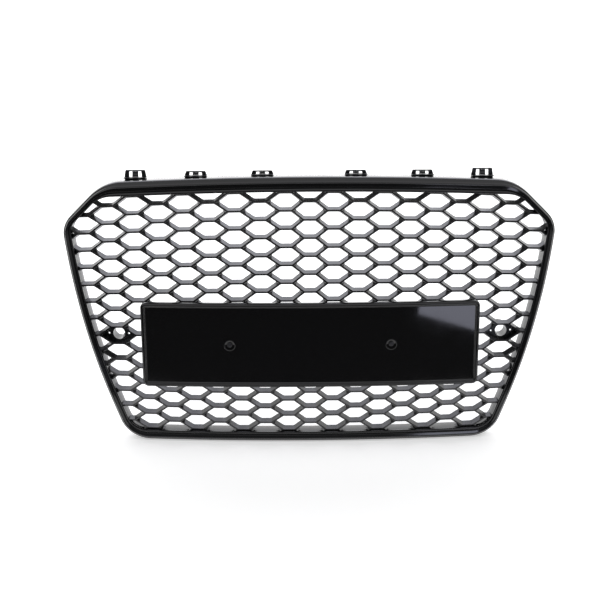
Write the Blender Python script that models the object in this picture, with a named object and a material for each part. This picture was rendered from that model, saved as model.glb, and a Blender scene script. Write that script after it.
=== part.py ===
"""Front grille of a road car, as a bench kit of its mouldings and fasteners.

A honeycomb insert sits in a lipped surround frame and is screwed to it from behind. A number-plate
carrier is screwed on the front, two parking-sensor holders sit behind one cell each, and six clips
along the top edge hold the grille to the car with sprung tongues.

Lengths below are in millimetres, and a mesh is made in metres. X points to the right of someone who
faces the grille, Y points into the car and Z points up. Z = 0 is the surface that the grille stands
on, and Y = 0 is the middle of its depth.
"""

import math

import bmesh
import bpy
import numpy as np

MM = 0.001

# The nose: the curved surface that the mouldings follow, as a depth that depends on X and Z.
ROW_ZERO_Z = 213.5
NOSE_DEPTH = -36.645
NOSE_LEAN = 27.9
NOSE_ARCH = 25.9
NOSE_BOW = 15.1
LEAN_UNIT = 200.0
BOW_UNIT = 300.0

# The surround: rounded corners of its right half (x, height above row zero, corner radius), from
# the middle of the top edge to the bottom corner, and the width of its face along each edge.
OUTLINE = [
    (0.0, 219.8, 5800.0),
    (329.2, 204.9, 78.0),
    (396.0, 139.7, 36.0),
    (368.0, -12.0, 1900.0),
    (301.6, -213.5, 50.0),
]
FACE_WIDTHS = [22.3, 12.0, 13.6, 13.6, 17.5]
SKIRT_FLARES = [0.0, 2.2, 0.4, 0.0, 0.0]
INNER_RADII = [5800.0, 48.0, 18.0, 1850.0, 34.0]
ARC_STEPS = [8, 4, 4, 6, 5]
EDGE_STEPS = [1, 2, 1, 1, 6]
FRAME_WALL = 2.3
SKIRT_END = 19.0
CREST = -12.0

# The honeycomb, on its flat drawing: column spacing, half of the row spacing, the length of a level
# bar, and how the columns fan out and the rows arch over the height.
LAST_COLUMN = 10
FIRST_ROW = -7
LAST_ROW = 23
CENTRE_PITCH = 36.8
COLUMN_PITCH = 39.2
HALF_ROW = 13.74
ROWS_ABOVE_ZERO = 8
BAR = 19.0
FAN = 0.044
ROW_SHIFT = -1.8
ROW_DROOP = -3.5
ROW_DROOP_TOP = -4.45
INSERT_FRONT = -4.0
INSERT_BACK = 7.0
NOSE_HALF_WIDTH = 1.3
BACK_HALF_WIDTH = 4.0

# The insert's rim and its flange.
RIM_INNER = 0.5
RIM_OUTER = 3.0
RIM_FRONT = -3.8
FLANGE_FRONT = 14.5
FLANGE_BACK = 17.0
FLANGE_CLEARANCE = 4.8

# The screws that hold the insert in the frame.
SCREW_INSET = 6.9
SCREW_PLACES = [(75.0, 190.0), (225.0, 187.0), (303.0, 182.0), (352.0, -10.0), (225.0, -196.0), (81.3, -196.0)]
BOSS_RADIUS = 3.4
PAD_RADIUS = 3.9
PILOT_RADIUS = 1.8
SHANK_RADIUS = 1.5
BOSS_END = 12.4
PAD_FRONT = 12.8
PAD_BACK = 19.0
GAP = 0.3

# The tongues behind the lower edge: centre x, then heights and depths of their faces.
LOWER_TONGUES = (-248.0, -150.0, 150.0, 248.0)
LOWER_TONGUE_WIDTH = 16.0
TONGUE_HEIGHTS = (1.2, 4.2)
TONGUE_DEPTHS = (17.75, 38.0)

# The number-plate carrier: a bowed panel for a plate of 520 by 110.
CARRIER_HALF_WIDTH = 270.0
CARRIER_TOP = 23.7
CARRIER_BOTTOM = -113.0
CARRIER_RADIUS = 9.0
CARRIER_LENGTH_STEPS = 18
CARRIER_SIDE_STEPS = 5
CARRIER_ARC_STEPS = 4
CARRIER_DEPTH = -12.8
CARRIER_LEAN = 17.6
CARRIER_BOW = 12.8
WELL_X = 128.5
WELL_Z = -44.0
WELL_RADIUS = 7.6
SEAT_RADIUS = 9.2
SEAT_RISE = 1.2

# The parking-sensor holders.
SENSOR_COLUMN = 8
SENSOR_ROW = 10
SENSOR_BORE = 9.7
SENSOR_TUBE = 12.2
SENSOR_PLATE_FRONT = 7.5
SENSOR_PLATE_BACK = 10.0
SENSOR_TUBE_END = 30.0
LATCH_ANGLE = 50.0
LATCH_WIDTH = 4.0
LATCH_TRAVEL_GAP = 0.6

# The clips along the top edge: centre x and height above the frame.
CLIPS = [(-281.0, 6.7), (-182.5, 5.6), (-75.0, 6.6), (75.0, 6.6), (182.5, 5.6), (281.0, 6.7)]
CLIP_BASE = 35.5
CLIP_TOP = 29.5
CLIP_WALL = 2.2
CLIP_BAR = 2.0
CLIP_WINDOW = 19.4
CLIP_FOOT = 11.0
CLIP_FOOT_WALL = 1.1
TONGUE_WIDTH = 9.6
TONGUE_WALL = 1.3

BLACK = (0.012, 0.012, 0.013, 1.0)


def start_scene():
    """Empties the scene and makes the collections for the parts and for the cutters."""
    for old in list(bpy.data.objects):
        bpy.data.objects.remove(old, do_unlink=True)
    parts = bpy.data.collections.new("front_grille")
    cutters = bpy.data.collections.new("cutters")
    bpy.context.scene.collection.children.link(parts)
    bpy.context.scene.collection.children.link(cutters)
    return parts, cutters


PARTS, CUTTERS = start_scene()


def plastic(name, colour=BLACK, roughness=0.12, metallic=0.0):
    """A Principled material of one colour."""
    material = bpy.data.materials.new(name)
    material.use_nodes = True
    shader = material.node_tree.nodes["Principled BSDF"]
    shader.inputs["Base Color"].default_value = colour
    shader.inputs["Roughness"].default_value = roughness
    shader.inputs["Metallic"].default_value = metallic
    return material


def nose(x, z):
    """Depth of the nose surface in millimetres, at x and at z above row zero."""
    lean = z / LEAN_UNIT
    return NOSE_DEPTH + NOSE_LEAN * lean + NOSE_ARCH * lean**2 + NOSE_BOW * (x / BOW_UNIT) ** 2


def add_object(name, bm, collection=None):
    """Makes an object from a bmesh in millimetres, whose z counts from row zero."""
    for vertex in bm.verts:
        x, y, z = vertex.co
        vertex.co = (x * MM, y * MM, (z + ROW_ZERO_Z) * MM)
    bm.normal_update()
    bmesh.ops.recalc_face_normals(bm, faces=bm.faces)
    mesh = bpy.data.meshes.new(name)
    bm.to_mesh(mesh)
    bm.free()
    obj = bpy.data.objects.new(name, mesh)
    (collection or PARTS).objects.link(obj)
    if collection is CUTTERS:
        obj.hide_render = True
        obj.display_type = "WIRE"
    return obj


def finish(obj, material):
    """Gives a part its material, and smooth shading with sharp edges."""
    obj.data.materials.clear()
    obj.data.materials.append(material)
    obj.data.shade_smooth()
    obj.data.set_sharp_from_angle(angle=math.radians(30))
    return obj


def boolean(obj, other, operation):
    """Adds an exact Boolean modifier and applies it."""
    modifier = obj.modifiers.new(operation.lower(), "BOOLEAN")
    modifier.operation = operation
    modifier.object = other
    modifier.solver = "EXACT"
    graph = bpy.context.evaluated_depsgraph_get()
    result = bpy.data.meshes.new_from_object(obj.evaluated_get(graph))
    obj.modifiers.clear()
    old = obj.data
    obj.data = result
    result.name = obj.name
    bpy.data.meshes.remove(old)
    bm = bmesh.new()
    bm.from_mesh(obj.data)
    bmesh.ops.remove_doubles(bm, verts=bm.verts, dist=0.01 * MM)
    bm.to_mesh(obj.data)
    bm.free()
    return obj


def bend_to_nose(obj):
    """Moves each point of a flat moulding, in triangles, back by the nose's depth at its x and z."""
    bm = bmesh.new()
    bm.from_mesh(obj.data)
    bmesh.ops.triangulate(bm, faces=bm.faces)
    bm.to_mesh(obj.data)
    bm.free()
    for vertex in obj.data.vertices:
        x, y, z = vertex.co
        vertex.co.y = y + nose(x / MM, z / MM - ROW_ZERO_Z) * MM
    return obj


# Outlines


def rounded_outline(corners, radii, arc_steps, edge_steps):
    """A closed outline through rounded corners, as points (x, z), with steps along arcs and edges."""
    points = []
    count = len(corners)
    ends = []
    for k in range(count):
        here = np.array(corners[k])
        back = np.array(corners[k - 1]) - here
        ahead = np.array(corners[(k + 1) % count]) - here
        back = back / np.linalg.norm(back)
        ahead = ahead / np.linalg.norm(ahead)
        turn = math.pi - math.acos(float(np.clip(back @ ahead, -1, 1)))
        tangent = radii[k] * math.tan(turn / 2)
        middle = back + ahead
        centre = here + middle / np.linalg.norm(middle) * radii[k] / math.cos(turn / 2)
        first = here + back * tangent - centre
        last = here + ahead * tangent - centre
        start = math.atan2(first[1], first[0])
        sweep = math.atan2(last[1], last[0]) - start
        sweep = (sweep + math.pi) % (2 * math.pi) - math.pi
        angles = start + sweep * np.linspace(0, 1, arc_steps[k] + 1)
        arc = centre + radii[k] * np.stack([np.cos(angles), np.sin(angles)], axis=1)
        ends.append(arc)
    for k in range(count):
        arc = ends[k]
        following = ends[(k + 1) % count][0]
        points.extend(arc)
        for step in range(1, edge_steps[k]):
            points.append(arc[-1] + (following - arc[-1]) * step / edge_steps[k])
    return np.array(points)


def moved_corners(corners, widths):
    """Corners of a polygon whose edges move inward by their widths. Edge k runs from corner k."""
    count = len(corners)
    lines = []
    for k in range(count):
        start = np.array(corners[k])
        along = np.array(corners[(k + 1) % count]) - start
        along = along / np.linalg.norm(along)
        inward = np.array([along[1], -along[0]])
        lines.append((start + inward * widths[k], along))
    result = []
    for k in range(count):
        (a, u), (b, v) = lines[k - 1], lines[k]
        reach = np.linalg.solve(np.array([u, -v]).T, b - a)[0]
        result.append(tuple(a + u * reach))
    return result


def mirrored(values, has_middle):
    """A right half's list followed by its mirror image, without repeating an item on the middle."""
    left = values[:0:-1] if has_middle else values[::-1]
    return list(values) + list(left)


def mirrored_corners():
    """All corners of the surround, clockwise from the middle of the top edge."""
    right = [(x, z) for x, z, _ in OUTLINE]
    left = [(-x, z) for x, z in right[:0:-1]]
    return right + left


def surround_outlines():
    """Inner edge, outer edge and skirt end of the surround, with matching points."""
    corners = mirrored_corners()
    arc_steps = mirrored(ARC_STEPS, True)
    edge_steps = EDGE_STEPS + EDGE_STEPS[-2::-1]
    widths = FACE_WIDTHS + FACE_WIDTHS[-2::-1]
    flares = SKIRT_FLARES + SKIRT_FLARES[-2::-1]
    outer_radii = mirrored([radius for _, _, radius in OUTLINE], True)
    inner_radii = mirrored(INNER_RADII, True)
    outer = rounded_outline(corners, outer_radii, arc_steps, edge_steps)
    inner = rounded_outline(moved_corners(corners, widths), inner_radii, arc_steps, edge_steps)
    skirt = moved_corners(corners, [-flare for flare in flares])
    skirt = rounded_outline(skirt, outer_radii, arc_steps, edge_steps)
    return inner, outer, skirt


def outward(points):
    """Unit normals of a clockwise closed outline, pointing outward."""
    along = np.roll(points, -1, axis=0) - np.roll(points, 1, axis=0)
    along = along / np.linalg.norm(along, axis=1)[:, None]
    return np.stack([-along[:, 1], along[:, 0]], axis=1)


INNER, OUTER, SKIRT = surround_outlines()
INNER_NORMALS = outward(INNER)
FACE = np.linalg.norm(OUTER - INNER, axis=1)


def across(share):
    """The outline that lies at this share of the way from the surround's inner to its outer edge."""
    return INNER + (OUTER - INNER) * share


def out_from_inner(distance):
    """The surround's inner edge moved outward."""
    return INNER + INNER_NORMALS * distance


def sweep(rings, close=True):
    """A bmesh that joins outlines (points, depth) one to the next, and the last to the first."""
    bm = bmesh.new()
    loops = []
    for points, depth in rings:
        depths = np.broadcast_to(depth, len(points))
        loops.append([bm.verts.new((x, y, z)) for (x, z), y in zip(points, depths)])
    count = len(loops)
    for k in range(count if close else count - 1):
        here, following = loops[k], loops[(k + 1) % count]
        for n in range(len(here)):
            m = (n + 1) % len(here)
            bm.faces.new((here[n], here[m], following[m], following[n]))
    return bm, loops


def cylinders(name, places, radius, front, back, sides=20):
    """One cutter or tool object with a cylinder along Y at each (x, z, depth) place."""
    bm = bmesh.new()
    for x, z, depth in places:
        made = bmesh.ops.create_cone(
            bm, cap_ends=True, segments=sides, radius1=radius, radius2=radius, depth=back - front
        )
        for vertex in made["verts"]:
            a, b, c = vertex.co
            vertex.co = (x + a, depth + c + (front + back) / 2, z + b)
    return add_object(name, bm, CUTTERS)


def tubes(name, places, radii, front, back, floor=None, sides=10):
    """Tubes along Y at (x, z, depth) places, open at both ends, or closed in front of a floor depth."""
    outer, inner = radii
    bm = bmesh.new()
    for x, z, depth in places:
        rings = []
        sections = [(outer, front), (outer, back), (inner, back)]
        sections.append((inner, front if floor is None else floor))
        for radius, offset in sections:
            angles = np.arange(sides) * math.tau / sides
            rings.append(
                [
                    bm.verts.new((x + radius * math.cos(a), depth + offset, z + radius * math.sin(a)))
                    for a in angles
                ]
            )
        pairs = list(zip(rings, rings[1:]))
        if floor is None:
            pairs.append((rings[3], rings[0]))
        else:
            bm.faces.new(rings[0])
            bm.faces.new(rings[3])
        for here, there in pairs:
            for k in range(sides):
                m = (k + 1) % sides
                bm.faces.new((here[k], here[m], there[m], there[k]))
    return add_object(name, bm, CUTTERS)


# Surround frame


def surround_frame():
    """The bezel: bead, groove, band, ridge and outer band, then a skirt that runs back."""
    inner_edge = across(0.0)
    face = [
        (0.14, 5.8),
        (0.22, 4.8),
        (0.25, 3.5),
        (0.29, 3.5),
        (0.33, 5.4),
        (0.58, 7.0),
        (0.64, 8.2),
        (0.70, 7.2),
        (0.75, 5.8),
        (0.94, 3.8),
        (1.00, 1.0),
    ]
    base = CREST + 8.2
    rings = [(inner_edge, base - 1.0), (inner_edge, base - 4.0), (out_from_inner(0.9), base - 5.3)]
    rings += [(across(share), base - height) for share, height in face]
    skirt_normals = outward(SKIRT)
    rings += [
        (SKIRT, SKIRT_END),
        (SKIRT - skirt_normals * FRAME_WALL, SKIRT_END),
        (OUTER - outward(OUTER) * FRAME_WALL, base + 1.4),
        (across(0.64), base - 4.6),
        (across(0.32), base - 0.8),
        (out_from_inner(2.4), base - 2.6),
        (out_from_inner(2.3), base - 1.0),
    ]
    bm, _ = sweep(rings)
    return bend_to_nose(add_object("surround_frame", bm))


def screw_places():
    """Where the insert's screws go, as (x, z, nose depth): a step outward from the inner edge."""
    places = []
    for side in (1, -1):
        for x, z in SCREW_PLACES:
            nearest = int(np.argmin(np.hypot(INNER[:, 0] - side * x, INNER[:, 1] - z)))
            outwards = INNER_NORMALS[nearest]
            foot = INNER[nearest] + outwards * ((side * x, z) - INNER[nearest]) @ outwards
            along = np.array([-outwards[1], outwards[0]])
            foot = INNER[nearest] + along * (((side * x, z) - INNER[nearest]) @ along)
            place = foot + outwards * SCREW_INSET
            places.append((place[0], place[1], nose(place[0], place[1])))
    return places


SCREWS_AT = screw_places()
WELLS_AT = [(side * WELL_X, WELL_Z, nose(WELL_X, WELL_Z)) for side in (1, -1)]


def lower_tongues():
    """Four flat tongues behind the lower edge that hook into the bumper."""
    bm = bmesh.new()
    bottom, top = TONGUE_HEIGHTS
    front, back = TONGUE_DEPTHS
    for x in LOWER_TONGUES:
        made = bmesh.ops.create_cube(bm, size=1.0)
        depth = nose(x, -ROW_ZERO_Z) + (front + back) / 2
        for vertex in made["verts"]:
            a, b, c = vertex.co
            height = (bottom + top) / 2 + c * (top - bottom) - ROW_ZERO_Z
            vertex.co = (x + a * LOWER_TONGUE_WIDTH, depth + b * (back - front), height)
    return add_object("lower_tongues", bm, CUTTERS)


def make_surround(material):
    """The frame with its bosses and lower tongues."""
    frame = surround_frame()
    radii = (BOSS_RADIUS, PILOT_RADIUS)
    bosses = tubes("frame_bosses", SCREWS_AT, radii, CREST + 5.4, BOSS_END, CREST + 12.0)
    boolean(frame, bosses, "UNION")
    boolean(frame, lower_tongues(), "UNION")
    return finish(frame, material)


# Honeycomb insert


def column(i):
    """Flat-drawing x of a column of cells."""
    if i == 0:
        return 0.0
    return math.copysign(CENTRE_PITCH + (abs(i) - 1) * COLUMN_PITCH, i)


def lattice_point(flat_x, row):
    """Place (x, z) of a point of the flat honeycomb once it is fanned and arched."""
    z = ROW_SHIFT - (row - ROWS_ABOVE_ZERO) * HALF_ROW
    x = flat_x * (1 + FAN * z / LEAN_UNIT)
    droop = ROW_DROOP + ROW_DROOP_TOP * z / LEAN_UNIT
    return x, z + droop * (x / BOW_UNIT) ** 2


def cell_corners(i, row):
    """The six corners of a cell on the middle lines of its ribs, clockwise from the top left."""
    x = column(i)
    left, right = column(i - 1) + BAR / 2, column(i + 1) - BAR / 2
    drawing = [
        (x - BAR / 2, row - 1),
        (x + BAR / 2, row - 1),
        (right, row),
        (x + BAR / 2, row + 1),
        (x - BAR / 2, row + 1),
        (left, row),
    ]
    return [lattice_point(*corner) for corner in drawing]


def shrunk(corners, distance):
    """A convex clockwise polygon with each edge moved inward by the distance."""
    return moved_corners(corners, [distance] * len(corners))


def cell_holes():
    """The hexagonal hole of each cell, wide in front and narrow behind, longer than the ribs are deep."""
    draft = (BACK_HALF_WIDTH - NOSE_HALF_WIDTH) / (INSERT_BACK - INSERT_FRONT)
    bm = bmesh.new()
    for i in range(-LAST_COLUMN, LAST_COLUMN + 1):
        for row in range(FIRST_ROW, LAST_ROW + 1):
            if (i + row) % 2:
                continue
            rings = []
            for inset, depth in (
                (NOSE_HALF_WIDTH - draft, INSERT_FRONT - 1.0),
                (BACK_HALF_WIDTH + draft, INSERT_BACK + 1.0),
            ):
                corners = shrunk(cell_corners(i, row), inset)
                rings.append([bm.verts.new((x, depth, z)) for x, z in corners])
                bm.faces.new(rings[-1])
            for k in range(6):
                m = (k + 1) % 6
                bm.faces.new((rings[0][k], rings[0][m], rings[1][m], rings[1][k]))
    return add_object("cell_holes", bm, CUTTERS)


def rim():
    """The wall that closes the honeycomb, with the flange that meets the frame's bosses."""
    skirt_inside = SKIRT - outward(SKIRT) * FLANGE_CLEARANCE
    bm, _ = sweep(
        [
            (out_from_inner(RIM_INNER), RIM_FRONT),
            (out_from_inner(RIM_INNER), FLANGE_BACK),
            (skirt_inside, FLANGE_BACK),
            (skirt_inside, FLANGE_FRONT),
            (out_from_inner(RIM_OUTER), FLANGE_FRONT),
            (out_from_inner(RIM_OUTER), RIM_FRONT),
        ]
    )
    return add_object("insert_rim", bm, CUTTERS)


def make_insert(material):
    """A slab with its cells cut through and its rim joined on, with pads and bosses for the screws."""
    outline = out_from_inner((RIM_INNER + RIM_OUTER) / 2)
    bm, loops = sweep([(outline, INSERT_FRONT), (outline, INSERT_BACK)], close=False)
    bm.faces.new(loops[0])
    bm.faces.new(loops[1])
    insert = add_object("honeycomb_insert", bm)
    boolean(insert, cell_holes(), "DIFFERENCE")
    boolean(insert, rim(), "UNION")
    clearance = [(x, z, 0.0) for x, z, _ in SCREWS_AT]
    hole = (FLANGE_FRONT - 2.0, FLANGE_BACK + 2.0)
    holes = cylinders("flange_holes", clearance, PILOT_RADIUS + 1.0, *hole, 8)
    boolean(insert, holes, "DIFFERENCE")
    bend_to_nose(insert)
    pads = tubes("flange_pads", SCREWS_AT, (PAD_RADIUS, PILOT_RADIUS), PAD_FRONT, PAD_BACK)
    boolean(insert, pads, "UNION")
    front, back = INSERT_FRONT - 0.7, INSERT_BACK + 6.0
    bosses = tubes("carrier_bosses", WELLS_AT, (6.5, PILOT_RADIUS), front, back, None, 14)
    boolean(insert, bosses, "UNION")
    return finish(insert, material)


# Number-plate carrier


def carrier_plane(x, z):
    """Depth of the carrier's crest: straight up the panel, with the nose's bow across it."""
    lean = CARRIER_LEAN * z / LEAN_UNIT
    return NOSE_DEPTH + CARRIER_DEPTH + lean + CARRIER_BOW * (x / BOW_UNIT) ** 2


def carrier_ring(inset):
    """Outline of the carrier moved inward, with matching points on its top and bottom edges."""
    corners = [
        (-CARRIER_HALF_WIDTH, CARRIER_TOP),
        (CARRIER_HALF_WIDTH, CARRIER_TOP),
        (CARRIER_HALF_WIDTH, CARRIER_BOTTOM),
        (-CARRIER_HALF_WIDTH, CARRIER_BOTTOM),
    ]
    corners = moved_corners(corners, [inset] * 4)
    radius = max(CARRIER_RADIUS - inset, 1.5)
    steps = [CARRIER_LENGTH_STEPS, CARRIER_SIDE_STEPS] * 2
    return rounded_outline(corners, [radius] * 4, [CARRIER_ARC_STEPS] * 4, steps)


def cap_across(bm, loop):
    """Closes a carrier ring with faces that join its top chain of points to its bottom chain."""
    chain = CARRIER_LENGTH_STEPS + 2 * CARRIER_ARC_STEPS + 1
    side = CARRIER_SIDE_STEPS - 1
    top = loop[:chain]
    right = loop[chain : chain + side]
    bottom = loop[chain + side : 2 * chain + side][::-1]
    left = loop[2 * chain + side :]
    for k in range(chain - 1):
        face = [top[k], top[k + 1], bottom[k + 1], bottom[k]]
        if k == 0:
            face = face + left
        if k == chain - 2:
            face = face[:2] + right + face[2:]
        bm.faces.new(face)


def make_carrier(material):
    """The panel: side wall, outer roll, inner step, glossy face, and a hollow back."""
    sections = [
        (0.0, None),
        (0.0, 4.6),
        (0.7, 2.2),
        (2.2, 0.5),
        (4.0, 0.0),
        (5.6, 0.8),
        (6.4, 2.2),
        (7.0, 2.2),
        (8.0, 3.6),
    ]
    bm = bmesh.new()
    loops = []
    for inset, depth in sections:
        ring = carrier_ring(inset)
        if depth is None:
            depths = [nose(x, z) + INSERT_FRONT - 0.5 for x, z in ring]
        else:
            depths = [carrier_plane(x, z) + depth for x, z in ring]
        loops.append([bm.verts.new((x, y, z)) for (x, z), y in zip(ring, depths)])
    hollow = carrier_ring(2.6)
    back = [nose(x, z) + INSERT_FRONT - 0.5 for x, z in hollow]
    floor = [carrier_plane(x, z) + 6.2 for x, z in hollow]
    for depths in (back, floor):
        loops.append([bm.verts.new((x, y, z)) for (x, z), y in zip(hollow, depths)])
    strips = list(zip(loops[:8], loops[1:9])) + [(loops[0], loops[9]), (loops[9], loops[10])]
    for here, there in strips:
        for k in range(len(here)):
            m = (k + 1) % len(here)
            bm.faces.new((here[k], here[m], there[m], there[k]))
    cap_across(bm, loops[8])
    cap_across(bm, loops[10])
    carrier = add_object("plate_carrier", bm)
    seat_depth = carrier_plane(WELL_X, WELL_Z) + 3.6
    places = [(side * WELL_X, WELL_Z, seat_depth) for side in (1, -1)]
    seats = cylinders("well_seats", places, SEAT_RADIUS, -SEAT_RISE, 3.6, 24)
    boolean(carrier, seats, "UNION")
    boolean(carrier, cylinders("wells", places, WELL_RADIUS, -4.0, 2.2, 24), "DIFFERENCE")
    boolean(carrier, cylinders("well_holes", places, PILOT_RADIUS, -4.0, 9.0, 10), "DIFFERENCE")
    return finish(carrier, material)


# Fasteners


def screw_mesh(name, head_radius, head_height, length, recess):
    """A pan-head screw along Y: a turned profile, with a cross recess cut in its head."""
    profile = [
        (0.0, 0.0),
        (head_radius * 0.68, 0.0),
        (head_radius, head_height * 0.45),
        (head_radius, head_height),
        (SHANK_RADIUS, head_height),
        (SHANK_RADIUS, head_height + length - 1.2),
        (0.0, head_height + length),
    ]
    bm = bmesh.new()
    points = [bm.verts.new((radius, depth, 0.0)) for radius, depth in profile]
    edges = [bm.edges.new(pair) for pair in zip(points, points[1:])]
    bmesh.ops.spin(
        bm, geom=points + edges, cent=(0, 0, 0), axis=(0, 1, 0), angle=math.tau, steps=10
    )
    bmesh.ops.remove_doubles(bm, verts=bm.verts, dist=0.001)
    screw = add_object(name, bm)
    arms = bmesh.new()
    for size in ((recess, 0.34 * recess), (0.34 * recess, recess)):
        made = bmesh.ops.create_cube(arms, size=1.0)
        for vertex in made["verts"]:
            a, b, c = vertex.co
            vertex.co = (a * size[0], b * head_height * 1.1, c * size[1])
    cross = add_object(name + "_recess", arms, CUTTERS)
    cross_modifier = screw.modifiers.new("recess", "BOOLEAN")
    cross_modifier.object = cross
    cross_modifier.use_self = True
    graph = bpy.context.evaluated_depsgraph_get()
    mesh = bpy.data.meshes.new_from_object(screw.evaluated_get(graph))
    bpy.data.objects.remove(screw, do_unlink=True)
    bpy.data.objects.remove(cross, do_unlink=True)
    for vertex in mesh.vertices:
        vertex.co.z -= ROW_ZERO_Z * MM
    mesh.name = name
    return mesh


def place_screws(mesh, names, places, depth, material, from_behind):
    """One object for each screw, sharing a mesh, with its head at the depth behind the nose."""
    mesh.materials.clear()
    mesh.materials.append(material)
    mesh.shade_smooth()
    mesh.set_sharp_from_angle(angle=math.radians(35))
    for name, (x, z, nose_depth) in zip(names, places):
        obj = bpy.data.objects.new(name, mesh)
        obj.location = (x * MM, (nose_depth + depth) * MM, (z + ROW_ZERO_Z) * MM)
        obj.rotation_euler = (0, 0, math.pi if from_behind else 0)
        PARTS.objects.link(obj)


def make_screws(material):
    """Twelve screws behind the insert's flange and two in the carrier's wells."""
    head_height = 2.4
    mesh = screw_mesh("flange_screw", 3.5, head_height, 14.0, 3.6)
    names = [f"insert_screw_{k + 1:02d}" for k in range(len(SCREWS_AT))]
    place_screws(mesh, names, SCREWS_AT, PAD_BACK + GAP + head_height, material, True)
    mesh = screw_mesh("well_screw", 4.0, head_height, 11.0, 3.8)
    floor = carrier_plane(WELL_X, WELL_Z) + 3.6 + 2.2
    places = [(side * WELL_X, WELL_Z, floor) for side in (-1, 1)]
    names = ["carrier_screw_left", "carrier_screw_right"]
    place_screws(mesh, names, places, -GAP - head_height, material, False)


# Parking-sensor holders


def sensor_centre(side):
    """Middle (x, z) of the cell that a sensor looks through."""
    return lattice_point(column(side * SENSOR_COLUMN), SENSOR_ROW)


def latch_direction(side):
    """Direction (x, z) from the bore's axis to the latch, low on the inboard side."""
    angle = math.radians(LATCH_ANGLE)
    return -side * math.cos(angle), -math.sin(angle)


def box_between(name, centre, direction, low, high, half_width, front, back):
    """A box whose section spans low to high along a direction in XZ, and a half width across it."""
    along = np.array(direction)
    side = np.array([-along[1], along[0]])
    bm = bmesh.new()
    made = bmesh.ops.create_cube(bm, size=1.0)
    for vertex in made["verts"]:
        a, b, c = vertex.co
        place = np.array(centre) + along * (low + (a + 0.5) * (high - low)) + side * (c * 2 * half_width)
        vertex.co = (place[0], front + (b + 0.5) * (back - front), place[1])
    return add_object(name, bm, CUTTERS)


def make_sensor_holder(name, side, material):
    """A hexagonal plate behind one cell, with a tube that the sensor pushes into."""
    x, z = sensor_centre(side)
    corners = shrunk(cell_corners(side * SENSOR_COLUMN, SENSOR_ROW), -1.0)
    bm = bmesh.new()
    front = [bm.verts.new((a, SENSOR_PLATE_FRONT, c)) for a, c in corners]
    back = [bm.verts.new((a, SENSOR_PLATE_BACK, c)) for a, c in corners]
    bm.faces.new(front)
    bm.faces.new(back)
    for k in range(6):
        m = (k + 1) % 6
        bm.faces.new((front[k], front[m], back[m], back[k]))
    holder = add_object(name, bm)
    middle = [(x, z, 0.0)]
    tube = cylinders(name + "_tube", middle, SENSOR_TUBE, SENSOR_PLATE_FRONT + 0.4, SENSOR_TUBE_END, 32)
    boolean(holder, tube, "UNION")
    bore = cylinders(name + "_bore", middle, SENSOR_BORE, -10.0, SENSOR_TUBE_END + 10, 32)
    boolean(holder, bore, "DIFFERENCE")
    lugs = [(x - 16.2, z, 0.0), (x + 16.2, z, 0.0)]
    boolean(holder, cylinders(name + "_holes", lugs, 1.6, 0.0, 14.0, 10), "DIFFERENCE")
    slot = box_between(
        name + "_slot",
        (x, z),
        latch_direction(side),
        SENSOR_BORE - 2.0,
        SENSOR_TUBE + 4.0,
        LATCH_WIDTH / 2 + LATCH_TRAVEL_GAP,
        SENSOR_PLATE_BACK + 1.5,
        SENSOR_TUBE_END + 6.0,
    )
    boolean(holder, slot, "DIFFERENCE")
    for vertex in holder.data.vertices:
        a, b, c = vertex.co
        if b / MM < SENSOR_PLATE_BACK + 2.0:
            vertex.co.y = b + nose(a / MM, c / MM - ROW_ZERO_Z) * MM
        else:
            vertex.co.y = b + nose(x, z) * MM
    return finish(holder, material)


def make_sensor_latch(name, side, material):
    """A sprung arm in the slot of the tube, with a hook that catches behind the sensor."""
    x, z = sensor_centre(side)
    direction = np.array(latch_direction(side))
    across_arm = np.array([-direction[1], direction[0]])
    root = SENSOR_PLATE_BACK + 2.6
    tip = SENSOR_TUBE_END - 1.0
    profile = [
        (SENSOR_BORE + 0.3, root),
        (SENSOR_BORE + 0.3, tip - 4.0),
        (SENSOR_BORE - 1.7, tip - 1.6),
        (SENSOR_BORE - 1.7, tip - 1.0),
        (SENSOR_BORE + 0.3, tip),
        (SENSOR_BORE + 1.9, tip),
        (SENSOR_BORE + 1.9, root),
    ]
    bm = bmesh.new()
    faces = []
    for half in (-LATCH_WIDTH / 2, LATCH_WIDTH / 2):
        ring = []
        for reach, depth in profile:
            place = direction * reach + across_arm * half
            ring.append(bm.verts.new((place[0], depth - root, place[1])))
        faces.append(ring)
        bm.faces.new(ring)
    for k in range(len(profile)):
        m = (k + 1) % len(profile)
        bm.faces.new((faces[0][k], faces[0][m], faces[1][m], faces[1][k]))
    latch = add_object(name, bm)
    for vertex in latch.data.vertices:
        vertex.co.z -= ROW_ZERO_Z * MM
    pivot = direction * (SENSOR_BORE + 1.1)
    for vertex in latch.data.vertices:
        vertex.co.x -= pivot[0] * MM
        vertex.co.z -= pivot[1] * MM
    latch.location = (
        (x + pivot[0]) * MM,
        (nose(x, z) + root) * MM,
        (z + pivot[1] + ROW_ZERO_Z) * MM,
    )
    return finish(latch, material)


# Top clips


def clip_back(x):
    """Depth of the front face of a clip's upright, just behind the skirt."""
    return nose(abs(x) + CLIP_BASE / 2, 212.8) + SKIRT_END + 0.5


def top_edge(x):
    """Height of the surround's top edge above row zero, at x."""
    upper = OUTER[OUTER[:, 1] > 150]
    order = np.argsort(upper[:, 0])
    return float(np.interp(x, upper[order, 0], upper[order, 1]))


def clip_foot_height(x):
    """Height of the underside of a clip's foot, just clear of the surround's top edge."""
    return top_edge(abs(x) - CLIP_BASE / 2) + 0.4


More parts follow.
